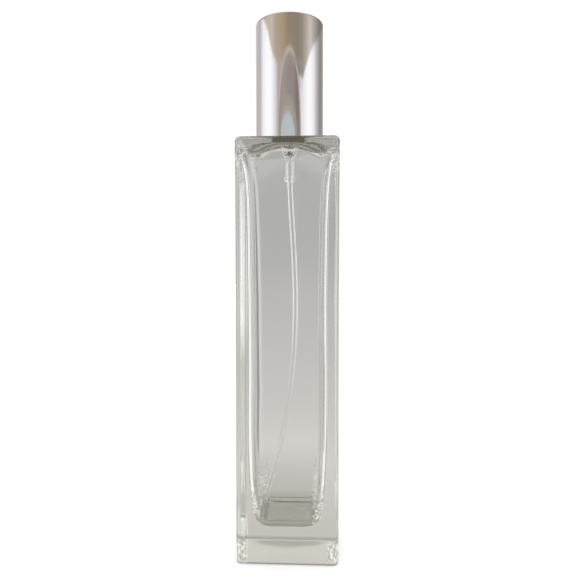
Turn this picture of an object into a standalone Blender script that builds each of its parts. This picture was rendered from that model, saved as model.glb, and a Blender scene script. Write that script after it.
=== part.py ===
"""Refillable aftershave spray bottle, 100 ml, with a crimped fine-mist pump and a push-on overcap.

Metres, +Z up. The origin is the centre of the glass base, and the nozzle sprays towards -Y.
Every outline is a list of (radius, height) points that runs down the outside of a turned piece
and back up its inside.
"""

import math

import bmesh
import bpy
from mathutils import Vector

# Glass body
BODY_WIDTH = 0.0380
BODY_FLARE = 0.0003
BODY_FLARE_LENGTH = 0.0150
SHOULDER_Z = 0.1553
UPRIGHT_EDGE_RADIUS = 0.0022
SHOULDER_EDGE_RADIUS = 0.0020
HEEL_RADIUS = 0.0010
RECESS_HALF_WIDTH = 0.0142
RECESS_CORNER_RADIUS = 0.0040
RECESS_DEPTH = 0.0003

# Hollow of the glass
FLOOR_Z = 0.0115
ROOF_Z = 0.1532
HOLLOW_HALF_WIDTH = 0.0148
HOLLOW_CORNER_RADIUS = 0.0034
FLOOR_ROUNDING = 0.0038
ROOF_ROUNDING = 0.0024
SHOULDER_FLARE = 0.0032
SHOULDER_FLARE_LENGTH = 0.0120
HEEL_TAPER = 0.0036
HEEL_TAPER_LENGTH = 0.0105
ROOF_SAG = 0.0022
ROOF_SAG_START_RADIUS = 0.0120
ROOF_SAG_END_RADIUS = 0.0215
ROOF_SAG_START_Z = 0.1380
THROAT_RISE = 0.0030

# Neck with its 15 mm crimp finish
NECK_RADIUS = 0.0064
NECK_ROOT_RADIUS = 0.0006
LIP_RADIUS = 0.0074
LIP_EDGE_RADIUS = 0.0005
BORE_RADIUS = 0.0049
LIP_BOTTOM_Z = SHOULDER_Z + 0.0080
LIP_TOP_Z = SHOULDER_Z + 0.0125

# Pump levels along the axis, from the bottom up
TAIL_END_Z = 0.1407
TUBE_SOCKET_TOP_Z = 0.1474
BALL_SEAT_Z = 0.1489
SPRING_SEAT_Z = 0.1513
CHAMBER_STEP_Z = 0.1568
VALVE_HEAD_Z = 0.1605
PISTON_Z = 0.1617
STEM_FLANGE_Z = 0.1675
STEM_TOP_Z = 0.1823
GASKET_Z = LIP_TOP_Z + 0.0001
GASKET_THICKNESS = 0.0008
FLANGE_Z = GASKET_Z + GASKET_THICKNESS + 0.0001
FLANGE_TOP_Z = FLANGE_Z + 0.0009
TURRET_Z = FLANGE_TOP_Z + 0.0001
TURRET_TOP_Z = TURRET_Z + 0.0012

# Dip tube, with the two handles of its bow
TUBE_RADIUS = 0.0010
TUBE_BORE_RADIUS = 0.0006
TUBE_UPPER_HANDLE = (0.0013, 0.0, 0.1075)
TUBE_LOWER_HANDLE = (0.0083, 0.0010, 0.0805)
TUBE_END = (-0.0096, 0.0052, FLOOR_Z + 0.0026)

# Springs
RETURN_SPRING_RADIUS = 0.0014
RETURN_SPRING_END_RADIUS = 0.00125
RETURN_SPRING_WIRE_RADIUS = 0.000175
RETURN_SPRING_TURNS = 7
SMALL_SPRING_RADIUS = 0.0019
SMALL_SPRING_WIRE_RADIUS = 0.00015
SMALL_SPRING_TURNS = 3.5

# Pump radii and lengths
TAIL_RADIUS = 0.00165
TAIL_FOOT_RADIUS = 0.0021
LOWER_HOUSING_RADIUS = 0.0026
UPPER_HOUSING_RADIUS = 0.0039
HOUSING_FLANGE_RADIUS = 0.0062
INLET_RADIUS = 0.0007
BALL_CAGE_RADIUS = 0.0013
SPRING_BORE_RADIUS = 0.0020
PISTON_BORE_RADIUS = 0.0030
PISTON_LENGTH = 0.0035
STEM_RADIUS = 0.0016
STEM_FLANGE_RADIUS = 0.0026
OUTLET_RADIUS = 0.0006
ROD_RADIUS = 0.0011
VALVE_HEAD_RADIUS = 0.0017
BALL_RADIUS = 0.0011
SLIDE_GAP = 0.0001

# Collar, actuator and overcap
SHEET = 0.00035
PLATE_Z = FLANGE_TOP_Z + 0.0001
FERRULE_TOP_Z = TURRET_TOP_Z + 0.0001 + SHEET
TOWER_OPENING_RADIUS = 0.0021
STROKE = 0.0040
COLLAR_RADIUS = 0.00885
ACTUATOR_RADIUS = 0.00645
ACTUATOR_BOTTOM_Z = PLATE_Z + SHEET + STROKE + 0.0003
ACTUATOR_TOP_Z = ACTUATOR_BOTTOM_Z + 0.0130
COLLAR_TOP_Z = ACTUATOR_BOTTOM_Z + 0.0006
NOZZLE_Z = ACTUATOR_TOP_Z - 0.0037
NOZZLE_BACK_Y = -0.00445
CAP_RADIUS = 0.0128
CAP_BOTTOM_Z = SHOULDER_Z + 0.0004
CAP_TOP_Z = 0.2013
CAP_WALL = 0.0005
CAP_EDGE_RADIUS = 0.0008
REST_GAP = 0.0003

# Facets
LARGE_STEPS = 32
SMALL_STEPS = 20
CORNER_POINTS = 6
MERGE = 0.00001
SHARP_ANGLE = math.radians(32)


def clear_scene():
    for obj in list(bpy.data.objects):
        bpy.data.objects.remove(obj)


def new_collection(name):
    collection = bpy.data.collections.new(name)
    bpy.context.scene.collection.children.link(collection)
    return collection


def principled(name, colour, roughness, metallic=0.0, transmission=0.0):
    material = bpy.data.materials.new(name)
    material.use_nodes = True
    shader = material.node_tree.nodes["Principled BSDF"]
    shader.inputs["Base Color"].default_value = (*colour, 1.0)
    shader.inputs["Roughness"].default_value = roughness
    shader.inputs["Metallic"].default_value = metallic
    shader.inputs["Transmission Weight"].default_value = transmission
    return material


def linked(name, data, collection, location=(0.0, 0.0, 0.0)):
    obj = bpy.data.objects.new(name, data)
    obj.location = location
    collection.objects.link(obj)
    return obj


def as_cutter(obj):
    obj.hide_render = True
    obj.display_type = "WIRE"
    return obj


def finished(obj, material):
    """The object with its modifiers applied, shaded smooth between its sharp edges."""
    graph = bpy.context.evaluated_depsgraph_get()
    graph.update()
    mesh = bpy.data.meshes.new_from_object(obj.evaluated_get(graph), depsgraph=graph)
    obj.modifiers.clear()
    obj.data = mesh
    mesh.name = obj.name
    mesh.materials.clear()
    mesh.materials.append(material)
    mesh.shade_smooth()
    mesh.set_sharp_from_angle(angle=SHARP_ANGLE)
    return obj


def combine(target, other, operation):
    modifier = target.modifiers.new(operation.lower(), "BOOLEAN")
    modifier.operation = operation
    modifier.object = other


def mesh_from_curve(curve_object, collection):
    """A closed mesh object in the curve object's place, with its caps welded to its sides."""
    graph = bpy.context.evaluated_depsgraph_get()
    graph.update()
    mesh = bpy.data.meshes.new_from_object(curve_object.evaluated_get(graph), depsgraph=graph)
    work = bmesh.new()
    work.from_mesh(mesh)
    bmesh.ops.remove_doubles(work, verts=work.verts, dist=MERGE)
    work.to_mesh(mesh)
    work.free()
    name = curve_object.name
    matrix = curve_object.matrix_world.copy()
    bpy.data.objects.remove(curve_object)
    obj = linked(name, mesh, collection)
    obj.matrix_world = matrix
    return obj


def arc(centre_radius, centre_height, radius, start_degrees, end_degrees, steps=4):
    """Outline points along a circular arc, with angles measured from the outward radial direction."""
    points = []
    for step in range(steps + 1):
        angle = math.radians(start_degrees + (end_degrees - start_degrees) * step / steps)
        points.append((centre_radius + radius * math.cos(angle), centre_height + radius * math.sin(angle)))
    return points


def turned(name, outline, origin_z, collection, steps=SMALL_STEPS):
    """A turned piece whose object origin lies on the axis at origin_z. An outline that starts on the axis
    ends on it too; any other outline is a ring and closes on itself."""
    solid = outline[0][0] == 0.0
    edges = [(i, i + 1) for i in range(len(outline) - 1)]
    if not solid:
        edges.append((len(outline) - 1, 0))
    mesh = bpy.data.meshes.new(name)
    mesh.from_pydata([(radius, 0.0, height - origin_z) for radius, height in outline], edges, [])
    obj = linked(name, mesh, collection, (0.0, 0.0, origin_z))
    screw = obj.modifiers.new("turn", "SCREW")
    screw.steps = steps
    screw.render_steps = steps
    screw.use_merge_vertices = True
    screw.merge_threshold = MERGE
    return obj


def round_bar(name, radius, start, end, collection, steps=SMALL_STEPS):
    """A plain cylinder between two points, used as a cutter."""
    axis = Vector(end) - Vector(start)
    bpy.ops.mesh.primitive_cylinder_add(vertices=steps, radius=radius, depth=axis.length)
    obj = bpy.context.active_object
    obj.name = name
    obj.location = (Vector(start) + Vector(end)) / 2
    obj.rotation_mode = "QUATERNION"
    obj.rotation_quaternion = axis.to_track_quat("Z", "Y")
    for holder in list(obj.users_collection):
        holder.objects.unlink(obj)
    collection.objects.link(obj)
    return obj


def box(name, low, high, collection):
    size = Vector(high) - Vector(low)
    work = bmesh.new()
    bmesh.ops.create_cube(work, size=1.0)
    bmesh.ops.scale(work, vec=size, verts=work.verts)
    bmesh.ops.translate(work, vec=(Vector(low) + Vector(high)) / 2, verts=work.verts)
    mesh = bpy.data.meshes.new(name)
    work.to_mesh(mesh)
    work.free()
    return linked(name, mesh, collection)


def bevel_edges(obj, radius, segments, chosen):
    """Rounds the edges for which chosen(first_point, second_point) is true."""
    work = bmesh.new()
    work.from_mesh(obj.data)
    edges = [edge for edge in work.edges if chosen(edge.verts[0].co, edge.verts[1].co)]
    bmesh.ops.bevel(work, geom=edges, offset=radius, segments=segments, profile=0.5, affect="EDGES")
    work.to_mesh(obj.data)
    work.free()


def rounded_box(name, low, high, upright_radius, top_radius, bottom_radius, collection):
    """A box with separate radii for its upright, top and bottom edges."""
    obj = box(name, low, high, collection)
    bevel_edges(obj, upright_radius, 4, lambda a, b: abs(a.z - b.z) > MERGE)
    bevel_edges(obj, top_radius, 4, lambda a, b: min(a.z, b.z) > high[2] - MERGE)
    if bottom_radius > 0.0:
        bevel_edges(obj, bottom_radius, 3, lambda a, b: max(a.z, b.z) < low[2] + MERGE)
    return obj


def flare_upwards(obj, top_z, amount, length, levels):
    """Widens the top of an upright body by amount, fading downwards over length."""
    work = bmesh.new()
    work.from_mesh(obj.data)
    for level in levels:
        geometry = work.verts[:] + work.edges[:] + work.faces[:]
        bmesh.ops.bisect_plane(work, geom=geometry, plane_co=(0.0, 0.0, level), plane_no=(0.0, 0.0, 1.0))
    for vertex in work.verts:
        gain = amount * math.exp((vertex.co.z - top_z) / length)
        scale = 1.0 + gain / (BODY_WIDTH / 2 - amount)
        vertex.co.x *= scale
        vertex.co.y *= scale
    work.to_mesh(obj.data)
    work.free()


def ring_points(half_width, corner_radius, height):
    """A rounded square, counter-clockwise from above. It is a circle where the two radii are equal."""
    points = []
    centre = half_width - corner_radius
    for quarter in range(4):
        corner_x = centre if quarter in (0, 3) else -centre
        corner_y = centre if quarter in (0, 1) else -centre
        for step in range(CORNER_POINTS):
            angle = math.pi / 2 * (quarter + (step + 0.5) / CORNER_POINTS)
            x = corner_x + corner_radius * math.cos(angle)
            y = corner_y + corner_radius * math.sin(angle)
            points.append((x, y, height))
    return points


def loft(name, rings, collection):
    """A closed skin through rings that all have the same number of points, bottom ring first."""
    work = bmesh.new()
    loops = [[work.verts.new(point) for point in ring] for ring in rings]
    count = len(loops[0])
    for lower, upper in zip(loops, loops[1:]):
        for i in range(count):
            j = (i + 1) % count
            work.faces.new((lower[i], lower[j], upper[j], upper[i]))
    work.faces.new(list(reversed(loops[0])))
    work.faces.new(loops[-1])
    mesh = bpy.data.meshes.new(name)
    work.to_mesh(mesh)
    work.free()
    return linked(name, mesh, collection)


def hollow_half_width(height):
    """Half the width of the hollow: it flares under the shoulder and narrows to the heel."""
    flare = SHOULDER_FLARE * math.exp(-(ROOF_Z - height) / SHOULDER_FLARE_LENGTH)
    taper = HEEL_TAPER * math.exp(-(height - FLOOR_Z) / HEEL_TAPER_LENGTH)
    return HOLLOW_HALF_WIDTH + flare - taper


def smooth_step(value, start, end):
    share = min(1.0, max(0.0, (value - start) / (end - start)))
    return share * share * (3.0 - 2.0 * share)


def sagged(point):
    """The roof of the hollow is a dome: it comes down towards the four corners of the bottle."""
    x, y, z = point
    out = smooth_step(math.hypot(x, y), ROOF_SAG_START_RADIUS, ROOF_SAG_END_RADIUS)
    return (x, y, z - ROOF_SAG * out * smooth_step(z, ROOF_SAG_START_Z, ROOF_Z))


def hollow_rings():
    """Sections of the hollow from the floor, up the walls, over the roof and out of the neck."""
    rings = []
    steps = 4
    for step in range(steps + 1):
        angle = math.pi / 2 * (0.12 + 0.88 * step / steps)
        height = FLOOR_Z + FLOOR_ROUNDING * (1.0 - math.cos(angle))
        half = hollow_half_width(height) - FLOOR_ROUNDING * (1.0 - math.sin(angle))
        rings.append(ring_points(half, min(HOLLOW_CORNER_RADIUS, half * 0.7), height))
    wall_steps = 10
    wall_bottom = FLOOR_Z + FLOOR_ROUNDING
    wall_top = ROOF_Z - ROOF_ROUNDING
    for step in range(1, wall_steps):
        height = wall_bottom + (wall_top - wall_bottom) * math.sin(math.pi / 2 * step / wall_steps)
        rings.append(ring_points(hollow_half_width(height), HOLLOW_CORNER_RADIUS, height))
    for step in range(steps + 1):
        angle = math.pi / 2 * step / steps
        height = wall_top + ROOF_ROUNDING * math.sin(angle)
        half = hollow_half_width(wall_top) - ROOF_ROUNDING * (1.0 - math.cos(angle))
        rings.append(ring_points(half, HOLLOW_CORNER_RADIUS, height))
    roof_half = hollow_half_width(wall_top) - ROOF_ROUNDING
    for step in range(1, steps + 1):
        share = step / steps
        half = roof_half + (BORE_RADIUS - roof_half) * math.sin(math.pi / 2 * share)
        height = ROOF_Z + THROAT_RISE * (1.0 - math.cos(math.pi / 2 * share))
        corner = HOLLOW_CORNER_RADIUS + (half - HOLLOW_CORNER_RADIUS) * share ** 2
        rings.append(ring_points(half, min(corner, half), height))
    rings.append(ring_points(BORE_RADIUS, BORE_RADIUS, LIP_TOP_Z + 0.001))
    return [[sagged(point) for point in ring] for ring in rings]


def glass_bottle(parts, cutters, material):
    half = BODY_WIDTH / 2 - BODY_FLARE
    body = rounded_box(
        "glass_bottle",
        (-half, -half, 0.0),
        (half, half, SHOULDER_Z),
        UPRIGHT_EDGE_RADIUS,
        SHOULDER_EDGE_RADIUS,
        HEEL_RADIUS,
        parts,
    )
    levels = [SHOULDER_Z - BODY_FLARE_LENGTH * share for share in (3.0, 2.0, 1.3, 0.8, 0.4)]
    flare_upwards(body, SHOULDER_Z, BODY_FLARE, BODY_FLARE_LENGTH, levels)
    lip_centre = LIP_RADIUS - LIP_EDGE_RADIUS
    root_centre = NECK_RADIUS + NECK_ROOT_RADIUS
    neck_outline = [
        (0.0, LIP_TOP_Z),
        (lip_centre, LIP_TOP_Z),
        *arc(lip_centre, LIP_TOP_Z - LIP_EDGE_RADIUS, LIP_EDGE_RADIUS, 60, 0, 2),
        (LIP_RADIUS, LIP_BOTTOM_Z),
        (NECK_RADIUS, LIP_BOTTOM_Z - (LIP_RADIUS - NECK_RADIUS)),
        *arc(root_centre, SHOULDER_Z + NECK_ROOT_RADIUS, NECK_ROOT_RADIUS, 180, 260, 3),
        (root_centre, SHOULDER_Z - 0.0010),
        (0.0, SHOULDER_Z - 0.0010),
    ]
    neck = as_cutter(turned("neck_blank", neck_outline, SHOULDER_Z, cutters, LARGE_STEPS))
    hollow = as_cutter(loft("hollow", hollow_rings(), cutters))
    recess = as_cutter(
        rounded_box(
            "base_recess",
            (-RECESS_HALF_WIDTH, -RECESS_HALF_WIDTH, -0.005),
            (RECESS_HALF_WIDTH, RECESS_HALF_WIDTH, RECESS_DEPTH),
            RECESS_CORNER_RADIUS,
            RECESS_DEPTH,
            0.0,
            cutters,
        )
    )
    combine(body, neck, "UNION")
    combine(body, hollow, "DIFFERENCE")
    combine(body, recess, "DIFFERENCE")
    return finished(body, material)


def dip_tube_path():
    """A straight length in the housing's tail, then a long bow down into one corner of the hollow."""
    points = [Vector((0.0, 0.0, TUBE_SOCKET_TOP_Z - 0.0002)), Vector((0.0, 0.0, TAIL_END_Z + 0.0010))]
    start = Vector((0.0, 0.0, TAIL_END_Z))
    first_handle = Vector(TUBE_UPPER_HANDLE)
    second_handle = Vector(TUBE_LOWER_HANDLE)
    end = Vector(TUBE_END)
    steps = 18
    for step in range(steps + 1):
        t = step / steps
        points.append(
            start * (1 - t) ** 3
            + first_handle * 3 * t * (1 - t) ** 2
            + second_handle * 3 * t ** 2 * (1 - t)
            + end * t ** 3
        )
    return points


def wire(name, points, radius, collection, bevel_resolution=2):
    curve = bpy.data.curves.new(name, "CURVE")
    curve.dimensions = "3D"
    curve.bevel_depth = radius
    curve.bevel_resolution = bevel_resolution
    curve.use_fill_caps = True
    spline = curve.splines.new("POLY")
    spline.points.add(len(points) - 1)
    for point, position in zip(spline.points, points):
        point.co = (*position, 1.0)
    return linked(name, curve, collection)


def dip_tube(parts, cutters, material):
    path = dip_tube_path()
    top_overrun = path[0] + (path[0] - path[1]).normalized() * 0.001
    end_overrun = path[-1] + (path[-1] - path[-2]).normalized() * 0.001
    tube = mesh_from_curve(wire("dip_tube", path, TUBE_RADIUS, parts), parts)
    bore_path = [top_overrun, *path, end_overrun]
    bore = as_cutter(mesh_from_curve(wire("tube_bore", bore_path, TUBE_BORE_RADIUS, cutters), cutters))
    combine(tube, bore, "DIFFERENCE")
    return finished(tube, material)


def coil(name, mean_radius, end_radius, wire_radius, turns, low, high, collection, material):
    """A compression spring. Its lowest turn widens from end_radius, and its ends lie flat."""
    steps_per_turn = 10
    steps = round(turns * steps_per_turn)
    points = []
    for step in range(steps + 1):
        share = step / steps
        angle = 2 * math.pi * turns * share
        rise = share - 0.35 * math.sin(2 * math.pi * share) / (2 * math.pi)
        radius = end_radius + (mean_radius - end_radius) * min(1.0, step / steps_per_turn)
        height = low + wire_radius + (high - low - 2 * wire_radius) * rise
        points.append((radius * math.cos(angle), radius * math.sin(angle), height))
    spring = mesh_from_curve(wire(name, points, wire_radius, collection), collection)
    return finished(spring, material)


def return_spring(parts, material):
    """Between the seat in the housing and the valve head. Its narrow end turn keeps the ball in."""
    low = SPRING_SEAT_Z + SLIDE_GAP
    high = VALVE_HEAD_Z - SLIDE_GAP
    return coil(
        "return_spring",
        RETURN_SPRING_RADIUS,
        RETURN_SPRING_END_RADIUS,
        RETURN_SPRING_WIRE_RADIUS,
        RETURN_SPRING_TURNS,
        low,
        high,
        parts,
        material,
    )


def precompression_spring(parts, material):
    """Between the piston and the stem's flange: it holds the piston shut until pressure builds."""
    low = PISTON_Z + PISTON_LENGTH + SLIDE_GAP
    high = STEM_FLANGE_Z - SLIDE_GAP
    return coil(
        "precompression_spring",
        SMALL_SPRING_RADIUS,
        SMALL_SPRING_RADIUS,
        SMALL_SPRING_WIRE_RADIUS,
        SMALL_SPRING_TURNS,
        low,
        high,
        parts,
        material,
    )


def pump_housing(parts, material):
    outline = [
        (HOUSING_FLANGE_RADIUS, FLANGE_TOP_Z),
        (HOUSING_FLANGE_RADIUS, FLANGE_Z),
        (UPPER_HOUSING_RADIUS, FLANGE_Z),
        (UPPER_HOUSING_RADIUS, SHOULDER_Z + 0.0007),
        (LOWER_HOUSING_RADIUS, SHOULDER_Z - 0.0005),
        (LOWER_HOUSING_RADIUS, BALL_SEAT_Z + 0.0016),
        (TAIL_FOOT_RADIUS, BALL_SEAT_Z + 0.0005),
        (TAIL_RADIUS, BALL_SEAT_Z - 0.0001),
        (TAIL_RADIUS, TAIL_END_Z + 0.0018),
        (TAIL_FOOT_RADIUS, TAIL_END_Z + 0.0015),
        (TAIL_FOOT_RADIUS, TAIL_END_Z),
        (TUBE_RADIUS + SLIDE_GAP, TAIL_END_Z),
        (TUBE_RADIUS + SLIDE_GAP, TUBE_SOCKET_TOP_Z),
        (INLET_RADIUS, TUBE_SOCKET_TOP_Z),
        (INLET_RADIUS, BALL_SEAT_Z),
        (BALL_CAGE_RADIUS, BALL_SEAT_Z + BALL_CAGE_RADIUS - INLET_RADIUS),
        (BALL_CAGE_RADIUS, SPRING_SEAT_Z),
        (SPRING_BORE_RADIUS, SPRING_SEAT_Z),
        (SPRING_BORE_RADIUS, CHAMBER_STEP_Z),
        (PISTON_BORE_RADIUS, CHAMBER_STEP_Z + 0.0004),
        (PISTON_BORE_RADIUS, FLANGE_TOP_Z),
    ]
    return finished(turned("pump_housing", outline, TAIL_END_Z, parts), material)


def check_ball(parts, material):
    """The inlet ball, resting on the 45 degree seat at the bottom of the housing."""
    seat_apex = BALL_SEAT_Z - INLET_RADIUS
    centre_z = seat_apex + BALL_RADIUS * math.sqrt(2) + SLIDE_GAP / 2
    work = bmesh.new()
    bmesh.ops.create_uvsphere(work, u_segments=14, v_segments=8, radius=BALL_RADIUS)
    mesh = bpy.data.meshes.new("check_ball")
    work.to_mesh(mesh)
    work.free()
    return finished(linked("check_ball", mesh, parts, (0.0, 0.0, centre_z)), material)


def valve_rod(parts, cutters, material):
    """The lower half of the stem: its head seals the piston's bore, and a groove lets the liquid past."""
    top = STEM_FLANGE_Z + 0.0019
    outline = [
        (0.0, top),
        (ROD_RADIUS, top),
        (ROD_RADIUS, VALVE_HEAD_Z + 0.0014),
        (VALVE_HEAD_RADIUS, VALVE_HEAD_Z + 0.0010),
        (VALVE_HEAD_RADIUS, VALVE_HEAD_Z + 0.0002),
        (VALVE_HEAD_RADIUS - 0.0002, VALVE_HEAD_Z),
        (0.0, VALVE_HEAD_Z),
    ]
    rod = turned("valve_rod", outline, VALVE_HEAD_Z, parts)
    groove_half = 0.0003
    groove = box(
        "rod_groove",
        (-groove_half, ROD_RADIUS - 0.0005, PISTON_Z + 0.0012),
        (groove_half, ROD_RADIUS + 0.0010, top + 0.0005),
        cutters,
    )
    combine(rod, as_cutter(groove), "DIFFERENCE")
    return finished(rod, material)


def piston(parts, material):
    lip_radius = PISTON_BORE_RADIUS - 0.00008
    waist_radius = 0.0024
    bore_radius = ROD_RADIUS + SLIDE_GAP
    top = PISTON_Z + PISTON_LENGTH
    outline = [
        (lip_radius, top),
        (lip_radius, top - 0.0005),
        (waist_radius, top - 0.0009),
        (waist_radius, PISTON_Z + 0.0009),
        (lip_radius, PISTON_Z + 0.0005),
        (lip_radius, PISTON_Z),
        (0.0026, PISTON_Z),
        (0.0020, PISTON_Z + 0.0007),
        (bore_radius, PISTON_Z + 0.0005),
        (bore_radius, top),
    ]
    return finished(turned("piston", outline, PISTON_Z, parts), material)


def stem(parts, material):
    sleeve_radius = STEM_RADIUS + 0.00005
    outline = [
        (STEM_RADIUS, STEM_TOP_Z),
        (STEM_RADIUS, STEM_FLANGE_Z + 0.0008),
        (STEM_FLANGE_RADIUS, STEM_FLANGE_Z + 0.0008),
        (STEM_FLANGE_RADIUS, STEM_FLANGE_Z),
        (sleeve_radius, STEM_FLANGE_Z),
        (sleeve_radius, STEM_FLANGE_Z - 0.0011),
        (ROD_RADIUS + SLIDE_GAP, STEM_FLANGE_Z - 0.0011),
        (ROD_RADIUS + SLIDE_GAP, STEM_FLANGE_Z + 0.0021),
        (OUTLET_RADIUS, STEM_FLANGE_Z + 0.0021),
        (OUTLET_RADIUS, STEM_TOP_Z),
    ]
    return finished(turned("stem", outline, STEM_FLANGE_Z, parts), material)


def stem_seal(parts, material):
    bottom = STEM_FLANGE_Z + 0.0010
    outline = [
        (0.0024, bottom + 0.0009),
        (0.0024, bottom),
        (STEM_RADIUS + 0.00006, bottom),
        (STEM_RADIUS + 0.00006, bottom + 0.0009),
    ]
    return finished(turned("stem_seal", outline, bottom, parts), material)


def turret(parts, material):
    plug_radius = PISTON_BORE_RADIUS - SLIDE_GAP
    plug_bottom = STEM_FLANGE_Z + 0.0011
    outline = [
        (0.0043, TURRET_TOP_Z),
        (0.0043, TURRET_Z),
        (plug_radius, TURRET_Z),
        (plug_radius, plug_bottom),
        (0.0025, plug_bottom),
        (0.0025, plug_bottom + 0.0010),
        (STEM_RADIUS + 0.00012, plug_bottom + 0.0010),
        (STEM_RADIUS + 0.00012, TURRET_TOP_Z),
    ]
    return finished(turned("turret", outline, TURRET_Z, parts), material)


def neck_gasket(parts, material):
    outline = [
        (LIP_RADIUS - 0.00005, GASKET_Z + GASKET_THICKNESS),
        (LIP_RADIUS - 0.00005, GASKET_Z),
        (UPPER_HOUSING_RADIUS + SLIDE_GAP, GASKET_Z),
        (UPPER_HOUSING_RADIUS + SLIDE_GAP, GASKET_Z + GASKET_THICKNESS),
    ]
    return finished(turned("neck_gasket", outline, GASKET_Z, parts, LARGE_STEPS), material)


def crimp_ferrule(parts, material):
    """The metal cup that clamps the pump on the lip, rolled in under the lip by the crimping tool."""
    skirt_inner = LIP_RADIUS + 0.00015
    skirt_outer = skirt_inner + SHEET
    tower_inner = 0.00445
    tower_outer = tower_inner + SHEET
    plate_top = PLATE_Z + SHEET
    outline = [
        (TOWER_OPENING_RADIUS, FERRULE_TOP_Z),
        *arc(tower_outer - 0.0003, FERRULE_TOP_Z - 0.0003, 0.0003, 90, 0, 3),
        (tower_outer, plate_top),
        *arc(skirt_outer - 0.0006, plate_top - 0.0006, 0.0006, 90, 0, 3),
        (skirt_outer, LIP_BOTTOM_Z - 0.0001),
        (0.0071, LIP_BOTTOM_Z - 0.0011),
        (0.00685, LIP_BOTTOM_Z - 0.00085),
        (skirt_inner, LIP_BOTTOM_Z - 0.0001),
        (skirt_inner, PLATE_Z),
        (tower_inner, PLATE_Z),
        (tower_inner, FERRULE_TOP_Z - SHEET),
        (TOWER_OPENING_RADIUS, FERRULE_TOP_Z - SHEET),
    ]
    return finished(turned("crimp_ferrule", outline, PLATE_Z, parts, LARGE_STEPS), material)


def collar_inner_ring(parts, material):
    """The plastic ring that snaps over the ferrule, with a bead below the crimp, and carries the collar."""
    inner = 0.0080
    outer = COLLAR_RADIUS - SHEET - SLIDE_GAP
    bead_z = LIP_BOTTOM_Z - 0.0023
    bottom = SHOULDER_Z + 0.0009
    top = LIP_TOP_Z + 0.0010
    outline = [
        (outer, top),
        (outer, bottom),
        (inner, bottom),
        (inner, bead_z - 0.0004),
        (0.0075, bead_z),
        (0.0075, bead_z + 0.0004),
        (inner, bead_z + 0.0008),
        (inner, top),
    ]
    return finished(turned("collar_inner_ring", outline, bottom, parts, LARGE_STEPS), material)


def collar_shell(parts, material):
    inner = COLLAR_RADIUS - SHEET
    opening = ACTUATOR_RADIUS + 0.0004
    edge = 0.0006
    bottom = SHOULDER_Z + 0.0004
    outline = [
        (opening, COLLAR_TOP_Z),
        *arc(COLLAR_RADIUS - edge, COLLAR_TOP_Z - edge, edge, 90, 0),
        (COLLAR_RADIUS, bottom),
        (inner, bottom),
        *arc(inner - 0.0003, COLLAR_TOP_Z - SHEET - 0.0003, 0.0003, 0, 90, 2),
        (opening, COLLAR_TOP_Z - SHEET),
    ]
    return finished(turned("collar_shell", outline, bottom, parts, LARGE_STEPS), material)


def actuator_core(parts, cutters, material):
    """The plastic button: a skirt round the ferrule's tower, a socket for the stem, a side outlet."""
    outer = ACTUATOR_RADIUS - SHEET - SLIDE_GAP
    top = ACTUATOR_TOP_Z - SHEET - REST_GAP
    hollow_radius = 0.0053
    hollow_top = ACTUATOR_BOTTOM_Z + 0.0046
    boss_radius = 0.0026
    boss_bottom = ACTUATOR_BOTTOM_Z + 0.0028
    socket_radius = STEM_RADIUS + 0.00008
    socket_top = STEM_TOP_Z + REST_GAP
    swirl_radius = 0.0008
    outline = [
        (0.0, top),
        *arc(outer - 0.0005, top - 0.0005, 0.0005, 90, 0, 3),
        (outer, ACTUATOR_BOTTOM_Z),
        (hollow_radius, ACTUATOR_BOTTOM_Z),
        (hollow_radius, hollow_top),
        (boss_radius, hollow_top),
        (boss_radius, boss_bottom),
        (socket_radius, boss_bottom),
        (socket_radius, socket_top),
        (swirl_radius, socket_top),
        (swirl_radius, NOZZLE_Z + 0.0006),
        (0.0, NOZZLE_Z + 0.0006),
    ]
    core = turned("actuator_core", outline, ACTUATOR_BOTTOM_Z, parts, LARGE_STEPS)
    recess = round_bar("nozzle_recess", 0.0020, (0.0, -0.0080, NOZZLE_Z), (0.0, -0.0043, NOZZLE_Z), cutters)
    outlet = round_bar("side_outlet", 0.0005, (0.0, -0.0050, NOZZLE_Z), (0.0, 0.0, NOZZLE_Z), cutters, 16)
    combine(core, as_cutter(recess), "DIFFERENCE")
    combine(core, as_cutter(outlet), "DIFFERENCE")
    return finished(core, material)


def actuator_shell(parts, cutters, material):
    inner = ACTUATOR_RADIUS - SHEET
    edge = 0.0007
    outline = [
        (0.0, ACTUATOR_TOP_Z),
        *arc(ACTUATOR_RADIUS - edge, ACTUATOR_TOP_Z - edge, edge, 90, 0),
        (ACTUATOR_RADIUS, ACTUATOR_BOTTOM_Z + 0.0001),
        (inner, ACTUATOR_BOTTOM_Z + 0.0001),
        *arc(inner - 0.0004, ACTUATOR_TOP_Z - SHEET - 0.0004, 0.0004, 0, 90, 2),
        (0.0, ACTUATOR_TOP_Z - SHEET),
    ]
    shell = turned("actuator_shell", outline, ACTUATOR_BOTTOM_Z, parts, LARGE_STEPS)
    window = round_bar("nozzle_window", 0.0024, (0.0, -0.0090, NOZZLE_Z), (0.0, -0.0030, NOZZLE_Z), cutters)
    combine(shell, as_cutter(window), "DIFFERENCE")
    return finished(shell, material)


def nozzle_insert(parts, material):
    """The spray orifice, turned along its own axis and then laid to face -Y."""
    radius = 0.0019
    length = 0.00185
    dish_radius = 0.0010
    orifice_radius = 0.0002
    outline = [
        (dish_radius, length),
        *arc(radius - 0.0002, length - 0.0002, 0.0002, 90, 0, 2),
        (radius, 0.0),
        (orifice_radius, 0.0),
        (orifice_radius, length - 0.0004),
    ]
    insert = turned("nozzle_insert", outline, 0.0, parts)
    insert.location = (0.0, NOZZLE_BACK_Y, NOZZLE_Z)
    insert.rotation_euler = (math.radians(90), 0.0, 0.0)
    return finished(insert, material)


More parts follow.
